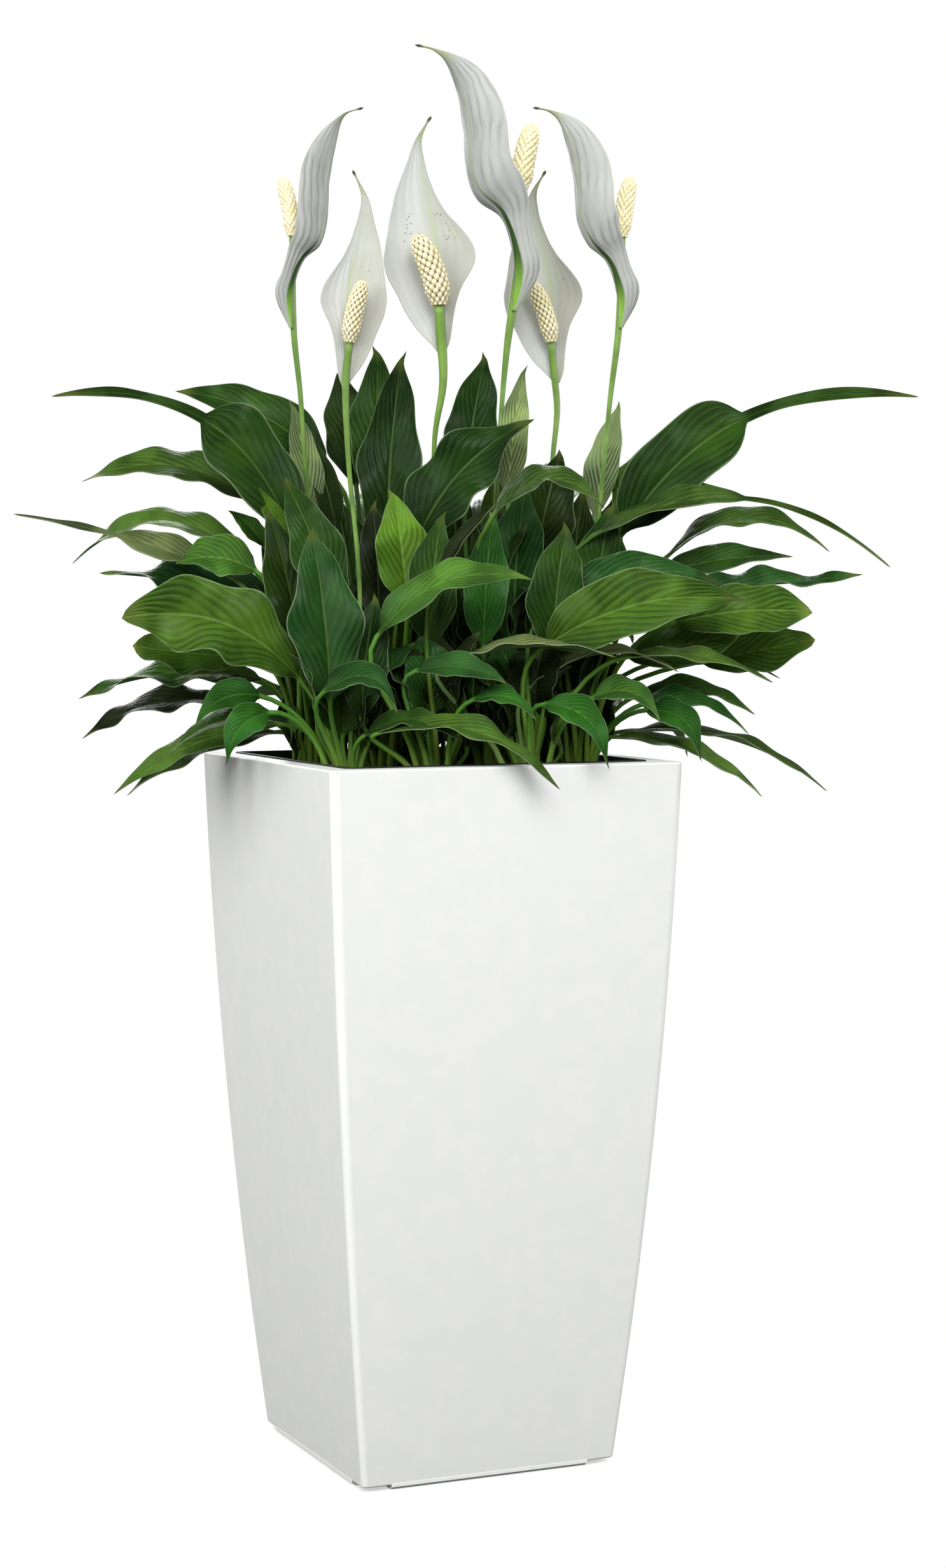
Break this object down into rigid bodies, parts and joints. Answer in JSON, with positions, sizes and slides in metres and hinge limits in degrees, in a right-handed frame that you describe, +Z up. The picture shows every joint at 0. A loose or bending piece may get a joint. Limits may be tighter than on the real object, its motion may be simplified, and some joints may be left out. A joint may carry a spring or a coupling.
{
  "type": "potted peace lily",
  "caption": "Peace lily in bloom, a full clump of arching green leaves with white hooded flowers on tall stems, in a tall tapered square planter with a liner.",
  "frame": {"origin": "on the floor, at the middle of the planter's plinth", "axes": "+Z up, the planter's four walls face along +X, -X, +Y and -Y, and the plant's fullest side faces between -Y and -X, 24 degrees from -Y"},
  "size_m": [0.6667, 0.4623, 1.1279],
  "materials": {
    "planter_plastic": "satin",
    "liner_plastic": "satin",
    "soil": "matte",
    "leaf": "satin",
    "stem": "satin",
    "spathe": "satin",
    "spadix": "matte"
  },
  "bodies": {
    "root": {"planter": "planter_plastic", "liner": "liner_plastic", "soil": "soil", "crown_frontLeft": "leaf", "crown_front": "leaf", "crown_frontRight": "leaf", "crown_left": "leaf", "crown_midLeft": "leaf", "crown_midRight": "leaf", "crown_right": "leaf", "crown_backLeft": "leaf", "crown_backMid": "leaf", "crown_backRight": "leaf", "crown_farLeft": "leaf", "crown_farRight": "leaf", "scape_1": "stem", "spathe_1": "spathe", "spadix_1": "spadix", "scape_2": "stem", "spathe_2": "spathe", "spadix_2": "spadix", "scape_3": "stem", "spathe_3": "spathe", "spadix_3": "spadix", "scape_4": "stem", "spathe_4": "spathe", "spadix_4": "spadix", "scape_5": "stem", "spathe_5": "spathe", "spadix_5": "spadix", "scape_6": "stem", "spathe_6": "spathe", "spadix_6": "spadix"}
  },
  "joints": []
}
